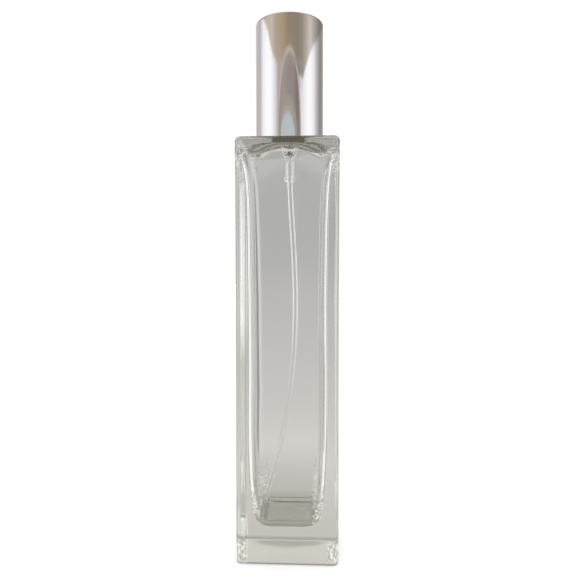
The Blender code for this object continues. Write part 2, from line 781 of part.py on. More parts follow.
def overcap_shell(parts, material):
    inner = CAP_RADIUS - CAP_WALL
    ceiling = CAP_TOP_Z - 0.0006
    outline = [
        (0.0, CAP_TOP_Z),
        *arc(CAP_RADIUS - CAP_EDGE_RADIUS, CAP_TOP_Z - CAP_EDGE_RADIUS, CAP_EDGE_RADIUS, 90, 0),
        (CAP_RADIUS, CAP_BOTTOM_Z + 0.0002),
        (CAP_RADIUS - 0.0002, CAP_BOTTOM_Z),
        (inner, CAP_BOTTOM_Z),
        *arc(inner - 0.0005, ceiling - 0.0005, 0.0005, 0, 90, 2),
        (0.0, ceiling),
    ]
    return finished(turned("overcap_shell", outline, CAP_BOTTOM_Z, parts, LARGE_STEPS), material)


def overcap_liner(parts, material):
    """The plastic liner: an inner cup that grips the collar, joined at its foot to an outer tube."""
    outer = CAP_RADIUS - CAP_WALL - SLIDE_GAP
    bottom = CAP_BOTTOM_Z + 0.0003
    top = CAP_TOP_Z - 0.0011
    grip = COLLAR_RADIUS + 0.00015
    wall = 0.0009
    ceiling = ACTUATOR_TOP_Z + 0.0016
    outline = [
        (0.0, ceiling + 0.0012),
        (grip + wall, ceiling + 0.0012),
        (grip + wall, bottom + 0.0010),
        (outer - wall, bottom + 0.0010),
        (outer - wall, top),
        (outer, top),
        (outer, bottom),
        (grip + 0.0004, bottom),
        (grip, bottom + 0.0004),
        (grip, ceiling),
        (0.0, ceiling),
    ]
    return finished(turned("overcap_liner", outline, bottom, parts, LARGE_STEPS), material)


def slide_axis(name, height, children, collection, parent=None):
    """An empty on the bottle's axis that carries the pieces of one moving body."""
    empty = linked(name, None, collection, (0.0, 0.0, height))
    if parent is not None:
        attach(empty, parent)
    for child in children:
        attach(child, empty)
    return empty


def attach(child, parent):
    bpy.context.view_layer.update()
    child.parent = parent
    child.matrix_parent_inverse = parent.matrix_world.inverted()


def build():
    clear_scene()
    parts = new_collection("aftershave_bottle")
    cutters = new_collection("cutters")

    glass = principled("clear_glass", (0.90, 0.92, 0.90), 0.02, transmission=1.0)
    mirror = principled("mirror_aluminium", (0.83, 0.83, 0.84), 0.06, metallic=1.0)
    satin = principled("satin_aluminium", (0.72, 0.72, 0.73), 0.30, metallic=1.0)
    natural = principled("natural_polypropylene", (0.84, 0.85, 0.85), 0.35, transmission=0.4)
    white = principled("white_acetal", (0.90, 0.90, 0.88), 0.30)
    rubber = principled("grey_rubber", (0.30, 0.30, 0.31), 0.70)
    steel = principled("spring_steel", (0.60, 0.60, 0.62), 0.22, metallic=1.0)
    tubing = principled("clear_tubing", (0.90, 0.91, 0.91), 0.15, transmission=0.6)

    glass_bottle(parts, cutters, glass)
    dip_tube(parts, cutters, tubing)
    pump_housing(parts, natural)
    neck_gasket(parts, rubber)
    turret(parts, white)
    stem_seal(parts, rubber)
    crimp_ferrule(parts, satin)
    collar_inner_ring(parts, natural)
    collar_shell(parts, mirror)
    return_spring(parts, steel)

    ball = check_ball(parts, steel)
    slide_axis("ball_slide", ball.location.z, [ball], parts)

    plunger_pieces = [
        stem(parts, white),
        valve_rod(parts, cutters, white),
        precompression_spring(parts, steel),
    ]
    plunger = slide_axis("plunger_slide", STEM_FLANGE_Z, plunger_pieces, parts)
    slide_axis("piston_slide", PISTON_Z, [piston(parts, white)], parts, plunger)

    actuator_pieces = [
        actuator_core(parts, cutters, white),
        actuator_shell(parts, cutters, mirror),
        nozzle_insert(parts, white),
    ]
    slide_axis("actuator_axis", ACTUATOR_BOTTOM_Z, actuator_pieces, parts, plunger)

    overcap_pieces = [overcap_shell(parts, mirror), overcap_liner(parts, natural)]
    slide_axis("overcap_slide", CAP_BOTTOM_Z, overcap_pieces, parts)


build()
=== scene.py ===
"""The looks of a tall square aftershave spray bottle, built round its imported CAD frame.

Metres and +Z up, as in the frame. Outlines are lists of (radius, height) points that run down the outside
of a turned piece and back up its inside. The world is a studio made of soft bands: what the glass refracts,
what the metal mirrors and what the camera sees behind the bottle are lit apart.
"""

import math

import bmesh
import bpy
from mathutils import Matrix, Vector, noise


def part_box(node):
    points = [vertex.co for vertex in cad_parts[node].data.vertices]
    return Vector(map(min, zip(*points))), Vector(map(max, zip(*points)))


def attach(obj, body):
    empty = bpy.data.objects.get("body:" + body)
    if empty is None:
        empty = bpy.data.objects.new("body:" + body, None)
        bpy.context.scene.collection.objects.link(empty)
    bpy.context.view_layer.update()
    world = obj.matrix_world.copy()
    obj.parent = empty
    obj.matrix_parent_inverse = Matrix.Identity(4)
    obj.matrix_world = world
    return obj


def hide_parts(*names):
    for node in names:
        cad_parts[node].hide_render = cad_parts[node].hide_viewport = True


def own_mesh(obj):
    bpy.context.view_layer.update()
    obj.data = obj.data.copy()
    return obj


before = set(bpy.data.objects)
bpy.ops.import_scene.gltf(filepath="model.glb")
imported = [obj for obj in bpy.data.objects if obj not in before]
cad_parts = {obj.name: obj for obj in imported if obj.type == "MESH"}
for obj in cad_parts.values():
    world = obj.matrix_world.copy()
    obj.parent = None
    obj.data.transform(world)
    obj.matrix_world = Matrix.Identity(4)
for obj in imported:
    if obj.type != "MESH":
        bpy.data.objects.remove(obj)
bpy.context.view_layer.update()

_, GLASS_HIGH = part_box("glass_bottle")
CAP_LOW, CAP_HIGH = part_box("overcap_shell")
LINER_LOW, LINER_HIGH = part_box("overcap_liner")
COLLAR_LOW, COLLAR_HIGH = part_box("collar_shell")
ACTUATOR_LOW, ACTUATOR_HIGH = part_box("actuator_shell")
HOUSING_LOW, HOUSING_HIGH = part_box("pump_housing")
INSERT_LOW, INSERT_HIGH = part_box("nozzle_insert")
_, TUBE_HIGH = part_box("dip_tube")
BALL_LOW, BALL_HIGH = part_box("check_ball")
SPRING_LOW, SPRING_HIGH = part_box("return_spring")
SMALL_SPRING_LOW, SMALL_SPRING_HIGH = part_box("precompression_spring")

# The glass, as in the CAD
LIP_TOP_Z = GLASS_HIGH.z
SHOULDER_Z = LIP_TOP_Z - 0.0125
BODY_HALF = 0.0190
BODY_FLARE = 0.0003
BODY_FLARE_LENGTH = 0.0150
UPRIGHT_EDGE_RADIUS = 0.0022
SHOULDER_EDGE_RADIUS = 0.0020
HEEL_RADIUS = 0.0010
RECESS_HALF = 0.0142
RECESS_DEPTH = 0.0003
NECK_RADIUS = 0.0064
NECK_ROOT_RADIUS = 0.0006
LIP_RADIUS = 0.0074
LIP_HEIGHT = 0.0045
LIP_ROUNDING = 0.0005
BORE_RADIUS = 0.0049
BORE_ROUNDING = 0.0004
FLOOR_Z = 0.0115
ROOF_Z = 0.1532
HOLLOW_HALF = 0.0148
HOLLOW_CORNER_RADIUS = 0.0034
FLOOR_ROUNDING = 0.0038
THROAT_RISE = 0.0030
SHOULDER_FLARE = 0.0032
SHOULDER_FLARE_LENGTH = 0.0120
HEEL_TAPER = 0.0036
HEEL_TAPER_LENGTH = 0.0105

# The roof of its hollow, with a tighter edge and deeper corners than in the CAD
ROOF_ROUNDING = 0.0013
ROOF_SAG = 0.0034
ROOF_SAG_START_RADIUS = 0.0155
ROOF_SAG_END_RADIUS = 0.0212
ROOF_SAG_START_Z = 0.1380

# How the made glass strays from the drawn one
SKIP_RADIUS = 0.0030
FLOOR_STEP = 0.0003
FLOOR_STEP_START = 0.0088
FLOOR_STEP_END = 0.0058
FLOOR_RIPPLE = 0.00016
WAVE_DEPTH = 0.00030
RIPPLE_DEPTH = 0.00010
DENT_DEPTH = 0.00010

# Light that has bounced more often than this inside the glass ends as a painted, even glow
TRAPPED_BOUNCES = 11.5

# The metal skins, the nozzle, and the gaps round the moving parts and over the table
SHEET = 0.00035
CAP_EDGE_RADIUS = 0.0008
CAP_WALL = 0.0005
CAP_TOP_WALL = 0.0006
LINER_WALL = 0.0009
LINER_TOP_WALL = 0.0012
NOZZLE_Z = (INSERT_LOW.z + INSERT_HIGH.z) / 2
WINDOW_RADIUS = 0.0024
CAP_GRIP_GAP = 0.00015
CAP_HEADROOM = 0.0016
COLLAR_GAP = 0.0004
FLOOR_GAP = 0.00005

# The dip tube's bow, from the pump's tail to a corner of the hollow
TUBE_RADIUS = 0.0010
TUBE_BORE_RADIUS = 0.0006
TUBE_UPPER_HANDLE = Vector((0.0013, 0.0, 0.1075))
TUBE_LOWER_HANDLE = Vector((0.0083, 0.0010, 0.0805))
TUBE_END = Vector((-0.0096, 0.0052, FLOOR_Z + 0.0026))

# Facets of the fine meshes
CORNER_STEPS = 10
SIDE_STEPS = 16
WELD_DISTANCE = 0.000002
SIDE_SHARES = [math.sin(math.pi * (step / SIDE_STEPS - 0.5)) for step in range(SIDE_STEPS)]
ROUND_STEPS = 128


# ---- Shapes


def linked(name, data):
    obj = bpy.data.objects.new(name, data)
    bpy.context.scene.collection.objects.link(obj)
    return obj


def new_piece(name, mesh, material, body):
    obj = linked(name, mesh)
    mesh.materials.clear()
    mesh.materials.append(material)
    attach(obj, body)
    return obj


def smooth(mesh, degrees=32):
    mesh.shade_smooth()
    mesh.set_sharp_from_angle(angle=math.radians(degrees))


def arc(centre_radius, centre_height, radius, start_degrees, end_degrees, steps=8):
    """Outline points along a circular arc, with angles measured from the outward radial direction."""
    points = []
    for step in range(steps + 1):
        angle = math.radians(start_degrees + (end_degrees - start_degrees) * step / steps)
        points.append((centre_radius + radius * math.cos(angle), centre_height + radius * math.sin(angle)))
    return points


def turned_mesh(name, outline, steps=ROUND_STEPS):
    """A closed turned mesh. An outline that starts on the axis ends on it; any other closes on itself."""
    work = bmesh.new()
    rings = []
    for radius, height in outline:
        if radius == 0.0:
            rings.append([work.verts.new((0.0, 0.0, height))])
            continue
        ring = []
        for step in range(steps):
            angle = 2 * math.pi * step / steps
            ring.append(work.verts.new((radius * math.cos(angle), radius * math.sin(angle), height)))
        rings.append(ring)
    pairs = list(zip(rings, rings[1:]))
    if outline[0][0] != 0.0:
        pairs.append((rings[-1], rings[0]))
    for upper, lower in pairs:
        for i in range(steps):
            j = (i + 1) % steps
            if len(upper) == 1:
                work.faces.new((upper[0], lower[i], lower[j]))
            elif len(lower) == 1:
                work.faces.new((upper[j], upper[i], lower[0]))
            else:
                work.faces.new((upper[j], upper[i], lower[i], lower[j]))
    bmesh.ops.recalc_face_normals(work, faces=work.faces)
    mesh = bpy.data.meshes.new(name)
    work.to_mesh(mesh)
    work.free()
    smooth(mesh)
    return mesh


def ring_square(half, corner, height):
    """A rounded square, counter-clockwise from above, with the points of its sides closer at the corners."""
    points = []
    centre = half - corner
    for quarter in range(4):
        turn = quarter * math.pi / 2
        cos_turn, sin_turn = math.cos(turn), math.sin(turn)
        local = []
        for share in SIDE_SHARES:
            local.append((half, centre * share))
        for step in range(CORNER_STEPS):
            angle = math.pi / 2 * step / CORNER_STEPS
            local.append((centre + corner * math.cos(angle), centre + corner * math.sin(angle)))
        for x, y in local:
            points.append(Vector((x * cos_turn - y * sin_turn, x * sin_turn + y * cos_turn, height)))
    return points


def ring_circle(radius, height):
    """A circle whose points pair with those of ring_square."""
    points = []
    side_share = 0.5
    for quarter in range(4):
        middle = quarter * math.pi / 2
        for share in SIDE_SHARES:
            angle = middle + math.pi / 4 * side_share * share
            points.append(Vector((radius * math.cos(angle), radius * math.sin(angle), height)))
        for step in range(CORNER_STEPS):
            angle = middle + math.pi / 4 * (side_share + 2 * (1 - side_share) * step / CORNER_STEPS)
            points.append(Vector((radius * math.cos(angle), radius * math.sin(angle), height)))
    return points


def mixed(first, second, share):
    return [a.lerp(b, share) for a, b in zip(first, second)]


def lofted_mesh(name, rings, closed=False):
    """A skin through rings of equally many points, capped at both ends or joined end to end."""
    work = bmesh.new()
    loops = [[work.verts.new(point) for point in ring] for ring in rings]
    count = len(loops[0])
    for lower, upper in zip(loops, loops[1:]):
        for i in range(count):
            j = (i + 1) % count
            work.faces.new((lower[i], lower[j], upper[j], upper[i]))
    if closed:
        for i in range(count):
            j = (i + 1) % count
            work.faces.new((loops[-1][i], loops[-1][j], loops[0][j], loops[0][i]))
    else:
        work.faces.new(list(reversed(loops[0])))
        work.faces.new(loops[-1])
    bmesh.ops.recalc_face_normals(work, faces=work.faces)
    mesh = bpy.data.meshes.new(name)
    work.to_mesh(mesh)
    work.free()
    return mesh


def tube_rings(path, radius, sides):
    """Circles square to a path, turned as little as possible from one to the next."""
    rings = []
    across = Vector((1.0, 0.0, 0.0))
    for index, point in enumerate(path):
        before = path[max(0, index - 1)]
        after = path[min(len(path) - 1, index + 1)]
        along = (after - before).normalized()
        across = (across - along * across.dot(along)).normalized()
        beside = along.cross(across)
        ring = []
        for step in range(sides):
            angle = 2 * math.pi * step / sides
            ring.append(point + (across * math.cos(angle) + beside * math.sin(angle)) * radius)
        rings.append(ring)
    return rings


def filleted(corners, steps=5):
    """Outline points from (radius, height, fillet) corners."""
    points = []
    for index, (radius, height, fillet) in enumerate(corners):
        corner = Vector((radius, height))
        if fillet == 0.0:
            points.append((radius, height))
            continue
        before = Vector(corners[index - 1][:2]) - corner
        after = Vector(corners[(index + 1) % len(corners)][:2]) - corner
        reach = min(fillet, before.length * 0.49, after.length * 0.49)
        start = corner + before.normalized() * reach
        end = corner + after.normalized() * reach
        for step in range(steps + 1):
            share = step / steps
            point = start * (1 - share) ** 2 + corner * 2 * share * (1 - share) + end * share ** 2
            points.append((point.x, point.y))
    return points


def body_half(height):
    """Half the width of the glass body, which widens a little towards the shoulder."""
    return BODY_HALF - BODY_FLARE + BODY_FLARE * math.exp((height - SHOULDER_Z) / BODY_FLARE_LENGTH)


def hollow_half(height):
    flare = SHOULDER_FLARE * math.exp(-(ROOF_Z - height) / SHOULDER_FLARE_LENGTH)
    taper = HEEL_TAPER * math.exp(-(height - FLOOR_Z) / HEEL_TAPER_LENGTH)
    return HOLLOW_HALF + flare - taper


def base_rings():
    """From the centre of the shallow dished foot out to its resting ring."""
    rings = []
    steps = 10
    for step in range(1, steps + 1):
        share = step / steps
        half = RECESS_HALF * share
        height = RECESS_DEPTH * (1.0 - share ** 2)
        square = ring_square(half, max(0.004 * share, half * 0.2), height)
        circle = ring_circle(half, height)
        rings.append(mixed(circle, square, share))
    return rings


def body_rings():
    """Heel, walls, shoulder edge and shoulder of the glass."""
    rings = []
    steps = 8
    wall = body_half(0.0)
    flat = wall - HEEL_RADIUS
    rings.append(ring_square(flat - 0.0002, UPRIGHT_EDGE_RADIUS - HEEL_RADIUS, 0.0))
    for step in range(steps + 1):
        angle = math.pi / 2 * step / steps
        out = HEEL_RADIUS * (1.0 - math.sin(angle))
        height = HEEL_RADIUS * (1.0 - math.cos(angle))
        rings.append(ring_square(wall - out, UPRIGHT_EDGE_RADIUS - out, height))
    wall_steps = 28
    bottom = HEEL_RADIUS
    top = SHOULDER_Z - SHOULDER_EDGE_RADIUS
    for step in range(1, wall_steps):
        share = (1.0 - math.cos(math.pi * step / wall_steps)) / 2
        height = bottom + (top - bottom) * share
        rings.append(ring_square(body_half(height), UPRIGHT_EDGE_RADIUS, height))
    for step in range(steps + 1):
        angle = math.pi / 2 * step / steps
        inwards = SHOULDER_EDGE_RADIUS * (1.0 - math.cos(angle))
        height = top + SHOULDER_EDGE_RADIUS * math.sin(angle)
        rings.append(ring_square(body_half(top) - inwards, UPRIGHT_EDGE_RADIUS - inwards, height))
    edge = body_half(top) - SHOULDER_EDGE_RADIUS
    square = ring_square(edge, UPRIGHT_EDGE_RADIUS - SHOULDER_EDGE_RADIUS, SHOULDER_Z)
    circle = ring_circle(NECK_RADIUS + NECK_ROOT_RADIUS, SHOULDER_Z)
    for share in (0.01, 0.3, 0.6, 0.85, 0.98, 1.0):
        rings.append(mixed(square, circle, share))
    return rings


def neck_rings():
    """The crimp neck, its lip and its bore, from the shoulder up and back down."""
    root = NECK_ROOT_RADIUS
    lip_bottom = LIP_TOP_Z - LIP_HEIGHT
    rings = []
    for angle in (250, 230, 210, 190, 180):
        radians = math.radians(angle)
        radius = NECK_RADIUS + root + root * math.cos(radians)
        rings.append(ring_circle(radius, SHOULDER_Z + root + root * math.sin(radians)))
    outline = [
        (NECK_RADIUS, lip_bottom - 0.0011),
        (LIP_RADIUS - 0.0002, lip_bottom - 0.0003),
        (LIP_RADIUS, lip_bottom),
        *arc(LIP_RADIUS - LIP_ROUNDING, LIP_TOP_Z - LIP_ROUNDING, LIP_ROUNDING, 0, 90, 4),
        *arc(BORE_RADIUS + BORE_ROUNDING, LIP_TOP_Z - BORE_ROUNDING, BORE_ROUNDING, 90, 180, 4),
        (BORE_RADIUS, ROOF_Z + 0.0060),
    ]
    rings.extend(ring_circle(radius, height) for radius, height in outline)
    return rings


def hollow_rings():
    """The throat, roof, walls and floor of the hollow, from the top down."""
    rings = []
    wall_bottom = FLOOR_Z + FLOOR_ROUNDING
    wall_top = ROOF_Z - ROOF_ROUNDING
    roof_half = hollow_half(wall_top) - ROOF_ROUNDING
    steps = 10
    for step in range(steps, 0, -1):
        share = step / steps
        half = roof_half + (BORE_RADIUS - roof_half) * math.sin(math.pi / 2 * share)
        height = ROOF_Z + THROAT_RISE * (1.0 - math.cos(math.pi / 2 * share))
        square = ring_square(half, min(HOLLOW_CORNER_RADIUS, half), height)
        rings.append(mixed(square, ring_circle(half, height), share ** 2))
    for step in range(steps, -1, -1):
        angle = math.pi / 2 * step / steps
        height = wall_top + ROOF_ROUNDING * math.sin(angle)
        half = hollow_half(wall_top) - ROOF_ROUNDING * (1.0 - math.cos(angle))
        rings.append(ring_square(half, HOLLOW_CORNER_RADIUS, height))
    wall_steps = 44
    for step in range(wall_steps - 1, 0, -1):
        share = (1.0 - math.cos(math.pi * step / wall_steps)) / 2
        height = wall_bottom + (wall_top - wall_bottom) * share
        rings.append(ring_square(hollow_half(height), HOLLOW_CORNER_RADIUS, height))
    for step in range(steps, -1, -1):
        angle = math.pi / 2 * step / steps
        height = FLOOR_Z + FLOOR_ROUNDING * (1.0 - math.cos(angle))
        half = hollow_half(height) - FLOOR_ROUNDING * (1.0 - math.sin(angle))
        rings.append(ring_square(half, min(HOLLOW_CORNER_RADIUS, half * 0.7), height))
    floor_half = hollow_half(FLOOR_Z) - FLOOR_ROUNDING
    floor_steps = 12
    for step in range(floor_steps):
        share = 0.92 - 0.08 * step
        half = floor_half * share
        square = ring_square(half, min(HOLLOW_CORNER_RADIUS, half * 0.7), FLOOR_Z)
        rings.append(mixed(ring_circle(half, FLOOR_Z), square, share))
    return rings


def smooth_step(value, start, end):
    share = min(1.0, max(0.0, (value - start) / (end - start)))
    return share * share * (3.0 - 2.0 * share)


def sag(point):
    """How far the domed roof of the hollow comes down towards the four corners."""
    out = smooth_step(math.hypot(point.x, point.y), ROOF_SAG_START_RADIUS, ROOF_SAG_END_RADIUS)
    return ROOF_SAG * out * smooth_step(point.z, ROOF_SAG_START_Z, ROOF_Z)


def floor_dome(point):
    """The floor of the hollow has a low flat step in its middle, and a slack ripple."""
    out = max(abs(point.x), abs(point.y))
    near = smooth_step(FLOOR_Z + 0.0030 - point.z, 0.0, 0.0030)
    ripple = noise.noise(Vector((point.x * 220, point.y * 380, 0.0)))
    return near * (FLOOR_STEP * smooth_step(out, FLOOR_STEP_START, FLOOR_STEP_END) + FLOOR_RIPPLE * ripple)


def uneven(point):
    """How far blown glass strays from its drawn shape: long gentle waves, and ripples in its corners."""
    fade = smooth_step(SHOULDER_Z - 0.003 - point.z, 0.0, 0.010)
    wave = noise.noise(Vector((point.x * 60, point.y * 60, point.z * 22)))
    corner = smooth_step(math.hypot(point.x, point.y), 0.0150, 0.0190)
    low = smooth_step(FLOOR_Z + 0.012 - point.z, 0.0, 0.010)
    high = smooth_step(point.z, ROOF_Z - 0.016, ROOF_Z - 0.004)
    ripple = noise.noise(Vector((point.x * 800, point.y * 800, point.z * 700)))
    return WAVE_DEPTH * wave * fade + RIPPLE_DEPTH * ripple * corner * (low + high)


def dented(point):
    """Pressed glass is a little sunken and rippled at the four corners of its foot and of its shoulder."""
    corner = smooth_step(min(abs(point.x), abs(point.y)), 0.0135, 0.0170)
    low = smooth_step(0.0085 - point.z, 0.0, 0.0045) * smooth_step(point.z, 0.0, 0.0010)
    high = smooth_step(point.z, SHOULDER_Z - 0.0100, SHOULDER_Z - 0.0040)
    ripple = noise.noise(Vector((point.x * 700, point.y * 700, point.z * 600)))
    inwards = DENT_DEPTH * (1.0 + ripple) * corner * max(low, high)
    outwards = Vector((point.x, point.y, 0.0))
    if outwards.length < SKIP_RADIUS:
        return point
    return point - outwards.normalized() * inwards


def make_glass(material):
    outer = [[dented(point) for point in ring] for ring in base_rings() + body_rings()] + neck_rings()
    inner = []
    for ring in hollow_rings():
        moved = []
        for point in ring:
            outwards = Vector((point.x, point.y, 0.0))
            shift = Vector((0.0, 0.0, floor_dome(point) - sag(point)))
            if outwards.length > SKIP_RADIUS:
                shift += outwards.normalized() * uneven(point)
            moved.append(point + shift)
        inner.append(moved)
    mesh = lofted_mesh("bottle_glass", outer + inner)
    smooth(mesh, 40)
    glass = new_piece("bottle_glass", mesh, material, "bottle")
    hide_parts("glass_bottle")
    return glass


def make_turned(name, node, outline, body, material, steps=ROUND_STEPS):
    """A turned piece that stands for one CAD node."""
    obj = new_piece(name, turned_mesh(name, outline, steps), material, body)
    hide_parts(node)
    return obj


def make_overcap(material):
    radius = CAP_HIGH.x
    edge = CAP_EDGE_RADIUS
    hem = 0.0002
    inner_edge = 0.0005
    inner = radius - CAP_WALL
    ceiling = CAP_HIGH.z - CAP_TOP_WALL
    outline = [
        (0.0, CAP_HIGH.z),
        (radius * 0.5, CAP_HIGH.z),
        (radius - edge - 0.0004, CAP_HIGH.z),
        *arc(radius - edge, CAP_HIGH.z - edge, edge, 90, 0, 10),
        (radius, CAP_HIGH.z - edge - 0.0003),
        (radius, CAP_LOW.z + 0.0006),
        *arc(radius - hem, CAP_LOW.z + hem, hem, 0, -90, 4),
        (inner, CAP_LOW.z),
        *arc(inner - inner_edge, ceiling - inner_edge, inner_edge, 0, 90, 4),
        (0.0, ceiling),
    ]
    return make_turned("overcap_sleeve", "overcap_shell", outline, "overcap", material)


def make_liner(material):
    outer = LINER_HIGH.x
    bottom = LINER_LOW.z
    top = LINER_HIGH.z
    wall = LINER_WALL
    grip = COLLAR_HIGH.x + CAP_GRIP_GAP
    ceiling = ACTUATOR_HIGH.z + CAP_HEADROOM
    crown = ceiling + LINER_TOP_WALL
    outline = filleted([
        (0.0, crown, 0.0),
        (grip + wall, crown, 0.0005),
        (grip + wall, bottom + 0.0010, 0.0003),
        (outer - wall, bottom + 0.0010, 0.0003),
        (outer - wall, top, 0.0002),
        (outer, top, 0.0002),
        (outer, bottom, 0.0003),
        (grip + 0.0004, bottom, 0.0002),
        (grip, bottom + 0.0004, 0.0002),
        (grip, ceiling, 0.0005),
        (0.0, ceiling, 0.0),
    ])
    return make_turned("overcap_lining", "overcap_liner", outline, "overcap", material)


def make_collar(material):
    radius = COLLAR_HIGH.x
    inner = radius - SHEET
    opening = ACTUATOR_HIGH.x + COLLAR_GAP
    top = COLLAR_HIGH.z
    outline = filleted([
        (opening, top, 0.0001),
        (radius, top, 0.0007),
        (radius, COLLAR_LOW.z, 0.00012),
        (inner, COLLAR_LOW.z, 0.00012),
        (inner, top - SHEET, 0.0003),
        (opening, top - SHEET, 0.0001),
    ], 8)
    return make_turned("collar_sleeve", "collar_shell", outline, "bottle", material)


def make_actuator_sleeve(material):
    """The bright metal skin of the button, with a round window for the nozzle."""
    radius = ACTUATOR_HIGH.x
    inner = radius - SHEET
    top = ACTUATOR_HIGH.z
    outline = filleted([
        (0.0, top, 0.0),
        (radius, top, 0.0008),
        (radius, ACTUATOR_LOW.z, 0.00012),
        (inner, ACTUATOR_LOW.z, 0.00012),
        (inner, top - SHEET, 0.0004),
        (0.0, top - SHEET, 0.0),
    ], 8)
    sleeve = new_piece("actuator_sleeve", turned_mesh("actuator_sleeve", outline), material, "actuator")
    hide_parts("actuator_shell")
    work = bmesh.new()
    depth = 0.0060
    bmesh.ops.create_cone(work, cap_ends=True, segments=64, radius1=WINDOW_RADIUS, radius2=WINDOW_RADIUS,
                          depth=depth)
    turn = Matrix.Translation((0.0, -depth, NOZZLE_Z)) @ Matrix.Rotation(math.pi / 2, 4, "X")
    bmesh.ops.transform(work, matrix=turn, verts=work.verts)
    cutter_mesh = bpy.data.meshes.new("window")
    work.to_mesh(cutter_mesh)
    work.free()
    cutter = linked("window", cutter_mesh)
    cut = sleeve.modifiers.new("window", "BOOLEAN")
    cut.operation = "DIFFERENCE"
    cut.object = cutter
    graph = bpy.context.evaluated_depsgraph_get()
    graph.update()
    mesh = bpy.data.meshes.new_from_object(sleeve.evaluated_get(graph), depsgraph=graph)
    work = bmesh.new()
    work.from_mesh(mesh)
    bmesh.ops.remove_doubles(work, verts=work.verts, dist=WELD_DISTANCE)
    work.to_mesh(mesh)
    work.free()
    sleeve.modifiers.clear()
    sleeve.data = mesh
    mesh.materials.clear()
    mesh.materials.append(material)
    smooth(mesh)
    bpy.data.objects.remove(cutter)
    return sleeve


def make_nozzle(material):
    """The spray insert: a dished face round a fine orifice, turned and laid to face -Y."""
    radius = (INSERT_HIGH.x - INSERT_LOW.x) / 2
    length = INSERT_HIGH.y - INSERT_LOW.y
    orifice = 0.0002
    outline = filleted([
        (orifice, length - 0.0005, 0.0),
        (0.0005, length - 0.0004, 0.0002),
        (0.0010, length - 0.0001, 0.0002),
        (0.0012, length, 0.0001),
        (radius, length, 0.0003),
        (radius, 0.0, 0.0001),
        (orifice, 0.0, 0.0),
    ])
    mesh = turned_mesh("spray_nozzle", outline, 72)
    turn = Matrix.Rotation(math.pi / 2, 4, "X")
    mesh.transform(Matrix.Translation((0.0, INSERT_HIGH.y, NOZZLE_Z)) @ turn)
    nozzle = new_piece("spray_nozzle", mesh, material, "actuator")
    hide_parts("nozzle_insert")
    return nozzle


def make_housing(material):
    """The clear pump body: a wide upper part in the neck, a spring chamber, and a tail for the tube."""
    flange_radius, flange_top = HOUSING_HIGH.x, HOUSING_HIGH.z
    upper, chamber, waist, tail = 0.0039, 0.0026, 0.00165, 0.0021
    piston_bore, spring_bore, ball_bore, inlet = 0.0030, 0.0020, 0.0013, 0.0007
    socket = TUBE_RADIUS + 0.0001
    tail_end = HOUSING_LOW.z
    socket_top = TUBE_HIGH.z + 0.0002
    ball_seat = socket_top + 0.0015
    spring_seat = SPRING_LOW.z - 0.0001
    outline = filleted([
        (flange_radius, flange_top, 0.0001),
        (flange_radius, flange_top - 0.0009, 0.0001),
        (upper, flange_top - 0.0009, 0.0001),
        (upper, SHOULDER_Z + 0.0007, 0.0006),
        (chamber, SHOULDER_Z - 0.0005, 0.0006),
        (chamber, ball_seat + 0.0016, 0.0005),
        (tail, ball_seat + 0.0005, 0.0004),
        (waist, ball_seat - 0.0001, 0.0003),
        (waist, tail_end + 0.0018, 0.0001),
        (tail, tail_end + 0.0015, 0.0002),
        (tail, tail_end, 0.0002),
        (socket, tail_end, 0.0001),
        (socket, socket_top, 0.0),
        (inlet, socket_top, 0.0),
        (inlet, ball_seat, 0.0),
        (ball_bore, ball_seat + 0.0006, 0.0),
        (ball_bore, spring_seat, 0.0),
        (spring_bore, spring_seat, 0.0),
        (spring_bore, spring_seat + 0.0055, 0.0),
        (piston_bore, spring_seat + 0.0059, 0.0),
        (piston_bore, flange_top, 0.0001),
    ])
    return make_turned("pump_body", "pump_housing", outline, "bottle", material, 96)


def make_tube(material):
    """The dip tube: straight in the pump's tail, then a long bow down into a corner of the hollow."""
    tail_end = HOUSING_LOW.z
    start = Vector((0.0, 0.0, tail_end))
    path = [Vector((0.0, 0.0, TUBE_HIGH.z)), Vector((0.0, 0.0, tail_end + 0.0010))]
    steps = 72
    for step in range(steps + 1):
        t = step / steps
        path.append(start * (1 - t) ** 3 + TUBE_UPPER_HANDLE * 3 * t * (1 - t) ** 2
                    + TUBE_LOWER_HANDLE * 3 * t ** 2 * (1 - t) + TUBE_END * t ** 3)
    rings = tube_rings(path, TUBE_RADIUS, 28) + list(reversed(tube_rings(path, TUBE_BORE_RADIUS, 28)))
    mesh = lofted_mesh("clear_dip_tube", rings, closed=True)
    smooth(mesh, 40)
    tube = new_piece("clear_dip_tube", mesh, material, "bottle")
    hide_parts("dip_tube")
    return tube


def make_ball(material):
    radius = (BALL_HIGH.z - BALL_LOW.z) / 2
    centre = (BALL_HIGH.z + BALL_LOW.z) / 2
    outline = [(0.0, centre + radius), *arc(0.0, centre, radius, 84, -84, 28), (0.0, centre - radius)]
    return make_turned("inlet_ball", "check_ball", outline, "ball", material, 48)


def make_spring(name, node, body, material, low, high, turns, end_radius, mean_radius, wire_radius):
    """A coil from low to high whose first turn widens from end_radius, with both ends lying flat."""
    steps_per_turn = 36
    steps = round(turns * steps_per_turn)
    path = []
    for step in range(steps + 1):
        share = step / steps
        angle = 2 * math.pi * turns * share
        rise = share - 0.35 * math.sin(2 * math.pi * share) / (2 * math.pi)
        radius = end_radius + (mean_radius - end_radius) * min(1.0, step / steps_per_turn)
        height = low + wire_radius + (high - low - 2 * wire_radius) * rise
        path.append(Vector((radius * math.cos(angle), radius * math.sin(angle), height)))
    mesh = lofted_mesh(name, tube_rings(path, wire_radius, 12))
    smooth(mesh, 40)
    spring = new_piece(name, mesh, material, body)
    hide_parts(node)
    return spring


